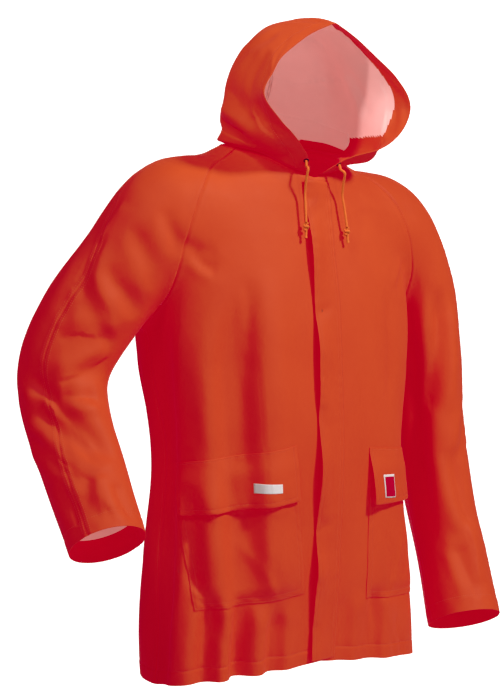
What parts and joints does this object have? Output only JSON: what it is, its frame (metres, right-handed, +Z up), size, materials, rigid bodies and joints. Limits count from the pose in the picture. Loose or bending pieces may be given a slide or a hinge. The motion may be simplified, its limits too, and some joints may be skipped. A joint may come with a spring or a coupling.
{
  "type": "hooded raincoat",
  "caption": "Hooded raincoat of coated cloth with raglan sleeves, a storm flap over the front, flapped patch pockets and a hood draw cord, held in the shape of a wearer.",
  "frame": {"origin": "middle of the neck on the line where the coat rests on the shoulders", "axes": "+Z up along the body, the front faces -Y, and the wearer's left is +X"},
  "size_m": [0.7834, 0.3117, 0.991],
  "materials": {
    "coated_cloth": "smooth waterproof coating outside, pale and dull inside",
    "white_label": "woven, bare",
    "red_label": "woven, bare",
    "cord": "braided",
    "dark_metal": "dark, half gloss"
  },
  "bodies": {
    "root": {"front_right": "coated_cloth", "sleeve_front_right": "coated_cloth", "sleeve_back_right": "coated_cloth", "hood_right": "coated_cloth", "pocket_right": "coated_cloth", "pocket_flap_right": "coated_cloth", "label_right": "white_label", "eyelet_right": "dark_metal", "draw_cord_right": "cord", "knot_right": "cord", "front_left": "coated_cloth", "sleeve_front_left": "coated_cloth", "sleeve_back_left": "coated_cloth", "hood_left": "coated_cloth", "pocket_left": "coated_cloth", "pocket_flap_left": "coated_cloth", "label_left": "red_label", "eyelet_left": "dark_metal", "draw_cord_left": "cord", "knot_left": "cord", "back": "coated_cloth", "neck_facing": "coated_cloth", "storm_flap": "coated_cloth", "press_stud_1": "dark_metal", "press_stud_2": "dark_metal", "press_stud_3": "dark_metal", "press_stud_4": "dark_metal", "press_stud_5": "dark_metal"}
  },
  "joints": []
}
